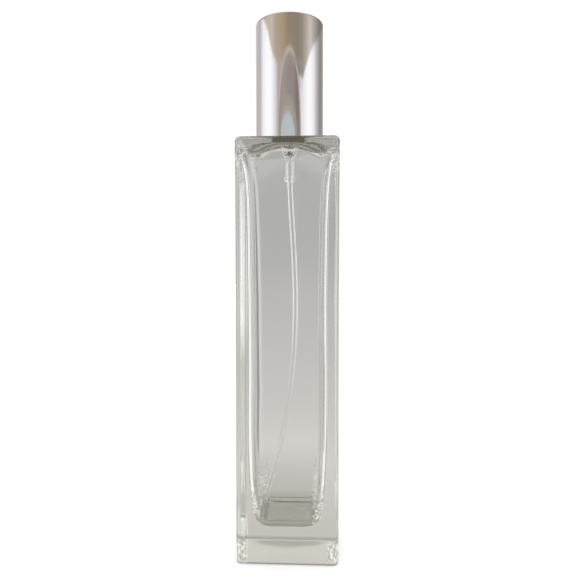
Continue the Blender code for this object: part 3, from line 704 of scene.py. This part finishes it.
def make_springs(material):
    """Both springs, the main one riding with the bottle and the small one with the plunger, each on a mesh
    of its own.
    """
    low, high = SPRING_LOW.z, SPRING_HIGH.z
    main = make_spring("main_spring", "return_spring", "bottle", material, low, high,
                       turns=7, end_radius=0.00125, mean_radius=0.0014, wire_radius=0.000175)
    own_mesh(main)
    low, high = SMALL_SPRING_LOW.z, SMALL_SPRING_HIGH.z
    small = make_spring("valve_spring", "precompression_spring", "plunger", material, low, high,
                        turns=3.5, end_radius=0.0019, mean_radius=0.0019, wire_radius=0.00015)
    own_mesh(small)


# ---- Shader maths


def feed(node, entry, source):
    """Links a Value or a socket to one input of a node, or sets that input to a number or a tuple."""
    if isinstance(source, Value):
        source = source.socket
    if isinstance(source, bpy.types.NodeSocket):
        node.id_data.links.new(source, node.inputs[entry])
    else:
        node.inputs[entry].default_value = source


class Value:
    """A number in a node tree. Arithmetic on it adds math nodes."""

    def __init__(self, tree, socket):
        self.tree = tree
        self.socket = socket

    def math(self, operation, *others):
        node = self.tree.nodes.new("ShaderNodeMath")
        node.operation = operation
        for index, source in enumerate((self, *others)):
            feed(node, index, source)
        return Value(self.tree, node.outputs[0])

    def __add__(self, other):
        return self.math("ADD", other)

    def __sub__(self, other):
        return self.math("SUBTRACT", other)

    def __mul__(self, other):
        return self.math("MULTIPLY", other)

    def __truediv__(self, other):
        return self.math("DIVIDE", other)

    def either(self, other):
        """The larger of two masks."""
        return self.math("MAXIMUM", other)

    def rise(self, start, end, low=0.0, high=1.0):
        """Goes smoothly from low to high as the value goes from start to end."""
        node = self.tree.nodes.new("ShaderNodeMapRange")
        node.interpolation_type = "SMOOTHSTEP"
        feed(node, "Value", self)
        feed(node, "From Min", start)
        feed(node, "From Max", end)
        feed(node, "To Min", low)
        feed(node, "To Max", high)
        return Value(self.tree, node.outputs["Result"])

    def band(self, start, end, soft):
        """1 between start and end, 0 outside, with edges soft wide."""
        return self.rise(start - soft, start + soft) * self.rise(end - soft, end + soft, 1.0, 0.0)


def ramp(value, start, end, stops):
    """A colour for each value between start and end, from (value, colour) stops."""
    share = (value - start) / (end - start)
    node = value.tree.nodes.new("ShaderNodeValToRGB")
    node.color_ramp.interpolation = "LINEAR"
    elements = node.color_ramp.elements
    elements.remove(elements[1])
    for index, (position, colour) in enumerate(stops):
        place = (position - start) / (end - start)
        if index == 0:
            elements[0].position = place
        element = elements[0] if index == 0 else elements.new(place)
        element.color = (*colour, 1.0)
    feed(node, "Fac", share)
    return node.outputs["Color"]


def blend_colour(first, second, share):
    """Mixes two colours, each a socket or a triple, by a Value."""
    node = share.tree.nodes.new("ShaderNodeMix")
    node.data_type = "RGBA"
    feed(node, "Factor", share)
    for name, source in (("A", first), ("B", second)):
        feed(node, name, (*source, 1.0) if isinstance(source, tuple) else source)
    return node.outputs["Result"]


# ---- Materials


def new_material(name):
    """A new material, its node tree, its Principled shader and its output."""
    material = bpy.data.materials.new(name)
    material.use_nodes = True
    tree = material.node_tree
    tree.nodes.clear()
    shader = tree.nodes.new("ShaderNodeBsdfPrincipled")
    output = tree.nodes.new("ShaderNodeOutputMaterial")
    feed(output, "Surface", shader.outputs[0])
    return material, tree, shader, output


def texture_noise(tree, scale, detail=3.0, roughness=0.5, stretch=(1.0, 1.0, 1.0)):
    """A noise Value in object space. Scale counts features per metre."""
    place = tree.nodes.new("ShaderNodeTexCoord")
    mapping = tree.nodes.new("ShaderNodeMapping")
    feed(mapping, "Scale", stretch)
    texture = tree.nodes.new("ShaderNodeTexNoise")
    feed(texture, "Scale", scale)
    feed(texture, "Detail", detail)
    feed(texture, "Roughness", roughness)
    feed(mapping, "Vector", place.outputs["Object"])
    feed(texture, "Vector", mapping.outputs[0])
    return Value(tree, texture.outputs["Fac"])


def bump(height, distance):
    node = height.tree.nodes.new("ShaderNodeBump")
    feed(node, "Strength", 1.0)
    feed(node, "Distance", distance)
    feed(node, "Height", height)
    return node.outputs[0]


def shaded_place(tree, space="Object"):
    """The x, y and z of the shaded point, as Values: metres of the frame in object space."""
    place = tree.nodes.new("ShaderNodeTexCoord")
    split = tree.nodes.new("ShaderNodeSeparateXYZ")
    feed(split, 0, place.outputs[space])
    return [Value(tree, split.outputs[i]) for i in range(3)]


def hollow_corners(near, far, z):
    """The corners of the hollow at its foot and its roof.

    Near is the smaller and far the larger of the distances along X and along Y from the axis.
    """
    foot = near.rise(0.0080, 0.0100) * far.rise(0.0172, 0.0164) * z.rise(0.0330, 0.0180)
    roof = near.rise(0.0125, 0.0150) * far.rise(0.0186, 0.0182) * z.rise(0.1430, 0.1500)
    return (foot * z.rise(0.0060, 0.0100)).either(roof)


def upright_ends(near, far, z):
    """The lower and upper ends of the four upright edges, which carry painted glints and dark specks."""
    foot = near.rise(0.0140, 0.0154) * z.band(0.0016, 0.0084, 0.0006)
    top = near.rise(0.0163, 0.0172) * z.band(0.1430, 0.1528, 0.0010) * 0.55
    return foot.either(top) * far.rise(0.0176, 0.0184)


def floor_shade_rings(far, z):
    """Two thin rings of painted shade where the floor of the hollow turns up into its walls."""
    lower = z.band(FLOOR_Z - 0.0001, FLOOR_Z + 0.0004, 0.0001)
    upper = z.band(FLOOR_Z + 0.0012, FLOOR_Z + 0.0016, 0.0001)
    return lower.either(upper) * far.band(0.0080, 0.0125, 0.0004)


def clear_glass():
    """Polished soda-lime glass: faint smears, pits at its corners, and a green-grey tint where it is thick.

    Light that has bounced about inside it for long ends in a painted, even glow. Painted glints and dark
    specks sit in its corners, and the shoulder seen from inside, the floor's rim and the heel carry faint
    painted shade.
    """
    material, tree, shader, output = new_material("clear_glass")
    feed(shader, "Base Color", (0.99, 0.99, 0.99, 1.0))
    feed(shader, "Transmission Weight", 1.0)
    feed(shader, "IOR", 1.51)
    smears = texture_noise(tree, 55.0, 4.0, 0.6)
    feed(shader, "Roughness", smears.rise(0.55, 0.75, 0.0, 0.035))

    x, y, z = shaded_place(tree)
    x, y = x.math("ABSOLUTE"), y.math("ABSOLUTE")
    near, far = x.math("MINIMUM", y), x.math("MAXIMUM", y)
    side = tree.nodes.new("ShaderNodeNewGeometry")
    inside = Value(tree, side.outputs["Backfacing"])
    outside = inside * -1.0 + 1.0
    path = tree.nodes.new("ShaderNodeLightPath")
    # Rays deeper than this end on a painted grey glow in place of the light they would still gather.
    trapped = Value(tree, path.outputs["Ray Depth"]).math("GREATER_THAN", TRAPPED_BOUNCES)

    corners = hollow_corners(near, far, z)
    ends = upright_ends(near, far, z) * outside
    ripple = texture_noise(tree, 130.0, 1.0, 0.4, (1.0, 1.0, 0.35))
    pit_and_glint_noise = texture_noise(tree, 800.0, 2.0, 0.6)
    specks = texture_noise(tree, 1700.0, 2.0, 0.6, (1.0, 1.0, 0.45))
    relief = ripple * 0.00003 + pit_and_glint_noise * corners * 0.0006
    feed(shader, "Normal", bump(relief, 1.0))

    # Painted glints and dark specks: in the hollow's corners, over the bumped pits, and at the ends of the
    # upright edges.
    painted_glint = pit_and_glint_noise.rise(0.54, 0.60).either(pit_and_glint_noise.rise(0.38, 0.33) * 0.35) * corners * 0.7
    painted_speck = specks.rise(0.50, 0.56).either(specks.rise(0.44, 0.40) * 0.4) * ends * 0.8
    # Painted shade on the top of the shoulder, where it is seen from inside the glass.
    shoulder = inside * z.rise(SHOULDER_Z - 0.0012, SHOULDER_Z - 0.0002) * far.rise(0.0178, 0.0164) * 0.38
    # Painted shade along the heel: a dark line seen from outside and a grey band seen from inside.
    heel = z.rise(0.0014, 0.0004) * far.rise(0.0176, 0.0182)
    far_heel_shade = heel * inside * 0.55
    near_heel_shade = heel * outside * 0.45
    # Where these masks cover it, the glass shows painted glow, glints, specks and shade instead of
    # refracting.
    covered = trapped
    for mask in (shoulder, painted_glint, painted_speck, near_heel_shade, far_heel_shade, floor_shade_rings(far, z) * 0.45):
        covered = covered.either(mask)

    # Painted colours: near white glints, near black specks and shade, a grey trapped glow and a paler grey
    # far heel.
    painted_bright_speck = specks.rise(0.46, 0.50) * ends.math("GREATER_THAN", 0.0)
    bright = (pit_and_glint_noise.rise(0.45, 0.55) * corners).either(painted_bright_speck)
    tone = blend_colour((0.10, 0.095, 0.075), (0.95, 0.95, 0.92), bright)
    tone = blend_colour(tone, (0.30, 0.30, 0.27), trapped)
    tone = blend_colour(tone, (0.50, 0.49, 0.44), far_heel_shade.math("GREATER_THAN", 0.0))
    glow = tree.nodes.new("ShaderNodeEmission")
    feed(glow, "Color", tone)
    mix = tree.nodes.new("ShaderNodeMixShader")
    feed(mix, 0, covered)
    feed(mix, 1, shader.outputs[0])
    feed(mix, 2, glow.outputs[0])
    feed(output, "Surface", mix.outputs[0])

    tint = tree.nodes.new("ShaderNodeVolumeAbsorption")
    feed(tint, "Color", (0.76, 0.80, 0.70, 1.0))
    feed(tint, "Density", 6.0)
    feed(output, "Volume", tint.outputs[0])
    return material


def mirror_aluminium():
    """Brightened, anodised aluminium: a slightly wavy mirror with fine drawn lines and rubbed patches."""
    material, tree, shader, _ = new_material("mirror_aluminium")
    feed(shader, "Metallic", 1.0)
    patches = texture_noise(tree, 70.0, 5.0, 0.6)
    tone = blend_colour((0.90, 0.885, 0.87), (0.84, 0.83, 0.825), patches)
    feed(shader, "Base Color", tone)
    rubbed = texture_noise(tree, 260.0, 6.0, 0.65)
    feed(shader, "Roughness", rubbed.rise(0.45, 0.8, 0.045, 0.12))
    drawn = texture_noise(tree, 900.0, 2.0, 0.5, (1.0, 1.0, 0.03))
    waves = texture_noise(tree, 90.0, 1.0, 0.4, (1.0, 1.0, 0.4))
    relief = drawn * 0.05 + waves
    feed(shader, "Normal", bump(relief, 0.00004))
    return material


def satin_aluminium():
    material, tree, shader, _ = new_material("satin_aluminium")
    feed(shader, "Metallic", 1.0)
    grain = texture_noise(tree, 1500.0, 4.0, 0.6, (1.0, 1.0, 0.2))
    tone = blend_colour((0.62, 0.62, 0.63), (0.78, 0.78, 0.79), grain)
    feed(shader, "Base Color", tone)
    feed(shader, "Roughness", grain.rise(0.2, 0.8, 0.22, 0.42))
    feed(shader, "Normal", bump(grain, 0.00001))
    return material


def moulded_plastic(name, light, dark, roughness, transmission=0.0):
    """Plastic with a faint mottle and a fine moulded skin."""
    material, tree, shader, _ = new_material(name)
    mottle = texture_noise(tree, 300.0, 4.0, 0.6)
    feed(shader, "Base Color", blend_colour(light, dark, mottle))
    gloss = mottle.rise(0.2, 0.8, roughness * 0.8, roughness * 1.3)
    feed(shader, "Roughness", gloss)
    skin = texture_noise(tree, 4000.0, 2.0, 0.5)
    feed(shader, "Normal", bump(skin, 0.000004))
    feed(shader, "Transmission Weight", transmission)
    feed(shader, "IOR", 1.49)
    return material


def clear_plastic(name, ior, edge_start, edge_end, glow):
    """Thin clear plastic. Where its wall is seen edge on it turns milky and carries a painted glow, stronger
    higher up.
    """
    material, tree, shader, _ = new_material(name)
    mottle = texture_noise(tree, 300.0, 4.0, 0.6)
    tone = blend_colour((1.0, 1.0, 1.0), (0.97, 0.97, 0.96), mottle)
    feed(shader, "Base Color", tone)
    feed(shader, "Roughness", mottle.rise(0.2, 0.8, 0.02, 0.06))
    facing = tree.nodes.new("ShaderNodeLayerWeight")
    feed(facing, "Blend", 0.5)
    edge = Value(tree, facing.outputs["Facing"]).rise(edge_start, edge_end)
    edge = edge * mottle.rise(0.2, 0.7, 0.75, 1.0)
    feed(shader, "Transmission Weight", edge.math("MULTIPLY_ADD", -0.5, 1.0))
    # A painted glow on the edge-on walls, stronger higher up as if lit from above.
    feed(shader, "Emission Color", (1.0, 0.98, 0.97, 1.0))
    lit = shaded_place(tree)[2].rise(0.045, 0.105, 0.10, 1.0)
    feed(shader, "Emission Strength", edge * lit * glow)
    feed(shader, "IOR", ior)
    return material


def rubber():
    material, tree, shader, _ = new_material("grey_rubber")
    dust = texture_noise(tree, 2500.0, 5.0, 0.7)
    tone = blend_colour((0.15, 0.15, 0.135), (0.20, 0.20, 0.18), dust)
    feed(shader, "Base Color", tone)
    feed(shader, "Roughness", dust.rise(0.3, 0.8, 0.6, 0.85))
    feed(shader, "Normal", bump(dust, 0.00002))
    return material


def spring_steel():
    material, tree, shader, _ = new_material("spring_steel")
    feed(shader, "Metallic", 1.0)
    drawn = texture_noise(tree, 3000.0, 3.0, 0.6)
    tone = blend_colour((0.50, 0.50, 0.52), (0.68, 0.68, 0.70), drawn)
    feed(shader, "Base Color", tone)
    feed(shader, "Roughness", drawn.rise(0.2, 0.8, 0.15, 0.30))
    return material


# ---- Studio


def direction_angles(tree):
    """The looked-at direction: degrees round from -Y towards +X, and degrees above the horizon."""
    x, y, z = shaded_place(tree, "Generated")
    around = x.math("ARCTAN2", y * -1.0) * (180 / math.pi)
    above = z.math("ARCSINE") * (180 / math.pi)
    return around, above


def backdrop_tone(above):
    """The wall behind the bottle: mid grey level with the shoulder, paler lower down and high up."""
    return ramp(above, -40.0, 40.0, [
        (-36, (0.46, 0.44, 0.40)),
        (-24, (0.56, 0.54, 0.51)),
        (-17.2, (0.67, 0.65, 0.62)),
        (-13.6, (0.61, 0.59, 0.565)),
        (-10, (0.575, 0.555, 0.535)),
        (-6, (0.535, 0.52, 0.505)),
        (-2.5, (0.505, 0.50, 0.49)),
        (1, (0.455, 0.45, 0.44)),
        (5, (0.43, 0.425, 0.415)),
        (9, (0.46, 0.455, 0.44)),
        (13, (0.42, 0.41, 0.385)),
        (20.5, (0.45, 0.44, 0.41)),
        (24, (0.66, 0.64, 0.59)),
        (33, (0.64, 0.62, 0.57)),
        (37, (0.36, 0.34, 0.30)),
        (40, (0.23, 0.21, 0.18)),
    ])


def refracted_studio(around, above):
    """What is seen through the glass.

    The backdrop has a bright strip at its right edge, with dark and pale bands beside it. White panels stand
    on both sides, and the low part of the right one is grey.
    """
    backdrop = backdrop_tone(above)
    from_behind = (around.math("ABSOLUTE") - 180.0) * -1.0
    right_side = around.rise(-1.0, 1.0)
    strip = from_behind.rise(6.6, 7.4) * from_behind.rise(11.0, 14.0, 1.0, 0.0) * right_side
    strip_heights = above.rise(-8.0, -3.0).either(above.rise(-21.0, -21.6))
    backdrop = blend_colour(backdrop, (0.94, 0.95, 0.90), strip * strip_heights)
    aside = around.math("ABSOLUTE")
    panels = aside.band(54.0, 83.0, 2.0).either(aside.band(97.0, 118.0, 2.0)) * above.band(-50.0, 22.0, 6.0)
    level = above.band(-20.0, 5.0, 3.0)
    low_right = around.band(50.0, 94.0, 3.0) * above.rise(-4.0, -9.0) * above.rise(-22.4, -21.6)
    panel_tone = blend_colour((1.24, 1.25, 1.22), (0.52, 0.53, 0.50), low_right)
    backdrop = blend_colour(backdrop, (0.26, 0.26, 0.25), around.band(-150.0, -140.0, 1.5) * level)
    backdrop = blend_colour(backdrop, (0.66, 0.65, 0.63), around.band(-164.0, -152.0, 1.5) * level)
    backdrop = blend_colour(backdrop, (0.37, 0.38, 0.36), around.band(150.0, 165.0, 1.5) * level)
    return blend_colour(backdrop, panel_tone, panels)


def brighter(tree, colour, factor):
    node = tree.nodes.new("ShaderNodeVectorMath")
    node.operation = "SCALE"
    feed(node, 0, colour)
    feed(node, "Scale", factor)
    return node.outputs[0]


def archway(around, above, centre, half, foot, height):
    """Below 1 inside an upright arch of this half width, whose curve starts at foot and is height tall."""
    across = (around - centre) / half
    up = (above - foot).math("MAXIMUM", 0.0) / height
    return (across * across + up * up).math("SQRT")


def mirrored_studio(tree, around, above):
    """What the metal mirrors: a tan ceiling over tall white panels, with a dim archway between them.

    The ceiling's edge is given as degrees above the horizon for degrees round, and stored as a share of 30.
    """
    ceiling = ramp(around, -180, 180, [
        (-150, (0.38, 0.34, 0.31)),
        (-112, (0.52, 0.42, 0.34)),
        (-84, (0.58, 0.49, 0.41)),
        (-60, (0.64, 0.55, 0.47)),
        (-46, (0.50, 0.41, 0.33)),
        (-18, (0.44, 0.34, 0.23)),
        (-2, (0.33, 0.26, 0.19)),
        (30, (0.29, 0.25, 0.19)),
        (46, (0.33, 0.29, 0.24)),
        (62, (0.50, 0.45, 0.41)),
        (78, (0.68, 0.62, 0.58)),
        (96, (0.44, 0.40, 0.37)),
        (125, (0.24, 0.21, 0.18)),
        (165, (0.20, 0.18, 0.16)),
    ])
    panels = ramp(around, -180, 180, [
        (-160, (0.50, 0.45, 0.43)),
        (-116, (0.50, 0.47, 0.47)),
        (-102, (0.80, 0.81, 0.88)),
        (-86, (0.95, 0.96, 1.0)),
        (-76, (1.0, 1.0, 1.0)),
        (-64, (0.97, 0.98, 1.0)),
        (-56, (0.84, 0.86, 0.92)),
        (-44, (0.66, 0.62, 0.63)),
        (-36, (0.42, 0.38, 0.37)),
        (36, (0.50, 0.44, 0.44)),
        (42, (0.74, 0.71, 0.75)),
        (56, (0.86, 0.87, 0.92)),
        (68, (1.0, 1.0, 1.0)),
        (80, (0.98, 0.98, 0.98)),
        (92, (0.86, 0.84, 0.89)),
        (108, (0.50, 0.49, 0.51)),
        (132, (0.24, 0.23, 0.21)),
        (150, (0.32, 0.30, 0.29)),
    ])
    panels = brighter(tree, panels, 1.14)
    ceiling_edge = ramp(around, -180, 180, [(degrees, (height / 30.0,) * 3) for degrees, height in (
        (-130, 23.1),
        (-95, 22.35),
        (-76, 21.48),
        (-59, 19.74),
        (-43, 18.96),
        (-29, 19.2),
        (0, 18.6),
        (30, 17.94),
        (48, 17.4),
        (56, 18.12),
        (72, 19.35),
        (89, 20.19),
        (110, 20.7),
        (150, 21.6),
    )])
    over_edge = above - Value(tree, ceiling_edge) * 30.0
    colour = blend_colour(panels, ceiling, over_edge.rise(-0.12, 0.16))
    arch = archway(around, above, 2.5, 37.5, 13.0, 6.9)
    hall = ramp(around, -60.0, 60.0, [
        (-36, (0.37, 0.32, 0.31)),
        (-16, (0.39, 0.33, 0.32)),
        (-2, (0.34, 0.285, 0.28)),
        (16, (0.33, 0.28, 0.27)),
        (28, (0.24, 0.20, 0.195)),
        (38, (0.30, 0.26, 0.255)),
    ])
    colour = blend_colour(colour, (0.62, 0.55, 0.50), arch.rise(1.075, 1.045))
    colour = blend_colour(colour, hall, arch.rise(1.015, 0.97))
    inner = archway(around, above, 0.0, 30.0, 12.6, 3.5)
    colour = blend_colour(colour, (0.40, 0.36, 0.30), inner.rise(1.06, 0.90))
    window = archway(around, above, -3.0, 25.0, 12.4, 2.4)
    colour = blend_colour(colour, (0.53, 0.60, 0.62), window.rise(1.02, 0.95))
    table = blend_colour(panels, (0.78, 0.77, 0.76), above.rise(0.0, -14.0, 0.0, 0.75))
    return blend_colour(colour, table, above.rise(6.0, -4.0))


def make_world():
    world = bpy.data.worlds.new("studio")
    bpy.context.scene.world = world
    world.use_nodes = True
    tree = world.node_tree
    tree.nodes.clear()
    path = tree.nodes.new("ShaderNodeLightPath")
    seen = Value(tree, path.outputs["Is Camera Ray"])
    refracted = Value(tree, path.outputs["Is Transmission Ray"])
    diffused = Value(tree, path.outputs["Diffuse Depth"]).math("GREATER_THAN", 0.5)
    around, above = direction_angles(tree)
    mirrored = mirrored_studio(tree, around, above)
    colour = blend_colour(mirrored, refracted_studio(around, above), refracted)
    colour = blend_colour(colour, (1.0, 1.0, 1.0), seen.either(diffused))
    background = tree.nodes.new("ShaderNodeBackground")
    output = tree.nodes.new("ShaderNodeOutputWorld")
    feed(background, "Color", colour)
    feed(output, "Surface", background.outputs[0])


def floor_material():
    """A pale matt table. Mirrored and refracted rays pass on to the studio, but under the bottle refraction
    meets painted shadow.
    """
    material, tree, shader, output = new_material("pale_floor")
    feed(shader, "Roughness", 0.9)
    feed(shader, "Specular IOR Level", 0.0)
    feed(shader, "Emission Strength", 1.0)
    clear = tree.nodes.new("ShaderNodeBsdfTransparent")
    path = tree.nodes.new("ShaderNodeLightPath")
    mix = tree.nodes.new("ShaderNodeMixShader")
    x, y, _ = shaded_place(tree)
    beyond = x.math("ABSOLUTE").either(y.math("ABSOLUTE")).rise(0.0175, 0.0187)
    refracted = Value(tree, path.outputs["Is Transmission Ray"])
    mirrored = Value(tree, path.outputs["Is Glossy Ray"]) - refracted
    passed = (refracted * beyond).either(mirrored)
    shade = blend_colour((0.80, 0.80, 0.80), (0.0, 0.0, 0.0), refracted)
    feed(shader, "Base Color", shade)
    # Refracted rays right under the bottle see a dim olive emission, a painted shadow; others see an even
    # grey glow.
    emitted = blend_colour((0.40, 0.40, 0.40), (0.38, 0.365, 0.315), refracted)
    feed(shader, "Emission Color", emitted)
    feed(mix, 0, passed)
    feed(mix, 1, shader.outputs[0])
    feed(mix, 2, clear.outputs[0])
    feed(output, "Surface", mix.outputs[0])
    return material


def make_floor():
    mesh = bpy.data.meshes.new("floor")
    work = bmesh.new()
    bmesh.ops.create_circle(work, cap_ends=True, segments=96, radius=6.0)
    work.to_mesh(mesh)
    work.free()
    floor = linked("floor", mesh)
    floor.location.z = -FLOOR_GAP
    mesh.materials.append(floor_material())


def make_camera():
    """Close to the bottle, just above its middle and slightly to its right."""
    distance, height = 0.2367, 0.1060
    round_degrees, sideways = 2.75, 0.00135
    yaw, down = math.radians(-0.286), 0.0274
    turn = math.radians(round_degrees)
    data = bpy.data.cameras.new("camera")
    data.sensor_width = 36.0
    data.lens = 37.8
    data.clip_start = 0.01
    camera = linked("camera", data)
    camera.location = (math.sin(turn) * distance + sideways, -math.cos(turn) * distance, height)
    heading = yaw - turn
    forward = Vector((math.sin(heading), math.cos(heading), -math.tan(down)))
    camera.rotation_euler = forward.to_track_quat("-Z", "Y").to_euler()
    bpy.context.scene.camera = camera


# ---- Build


def assign(node, material):
    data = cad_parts[node].data
    data.materials.clear()
    data.materials.append(material)


def build():
    bpy.context.scene.view_settings.view_transform = "Standard"
    bpy.context.scene.cycles.transmission_bounces = 24
    bpy.context.scene.cycles.glossy_bounces = 24
    bpy.context.scene.cycles.max_bounces = 32
    glass = clear_glass()
    mirror = mirror_aluminium()
    satin = satin_aluminium()
    natural = moulded_plastic("natural_plastic", (0.90, 0.90, 0.89), (0.84, 0.84, 0.83), 0.35, 0.25)
    clear = clear_plastic("clear_polypropylene", 1.30, 0.30, 0.80, 0.26)
    white = moulded_plastic("white_acetal", (0.88, 0.88, 0.86), (0.82, 0.82, 0.80), 0.30)
    tubing = clear_plastic("clear_tubing", 1.12, 0.20, 0.60, 0.30)
    grey_rubber = rubber()
    steel = spring_steel()
    make_glass(glass)
    make_overcap(mirror)
    make_liner(natural)
    make_collar(mirror)
    make_actuator_sleeve(mirror)
    make_nozzle(white)
    make_housing(clear)
    make_tube(tubing)
    make_ball(steel)
    make_springs(steel)
    for node, material in (
        ("neck_gasket", grey_rubber),
        ("turret", white),
        ("stem_seal", grey_rubber),
        ("crimp_ferrule", satin),
        ("collar_inner_ring", natural),
        ("stem", white),
        ("valve_rod", white),
        ("piston", white),
        ("actuator_core", white),
    ):
        assign(node, material)
    make_world()
    make_floor()
    make_camera()


build()
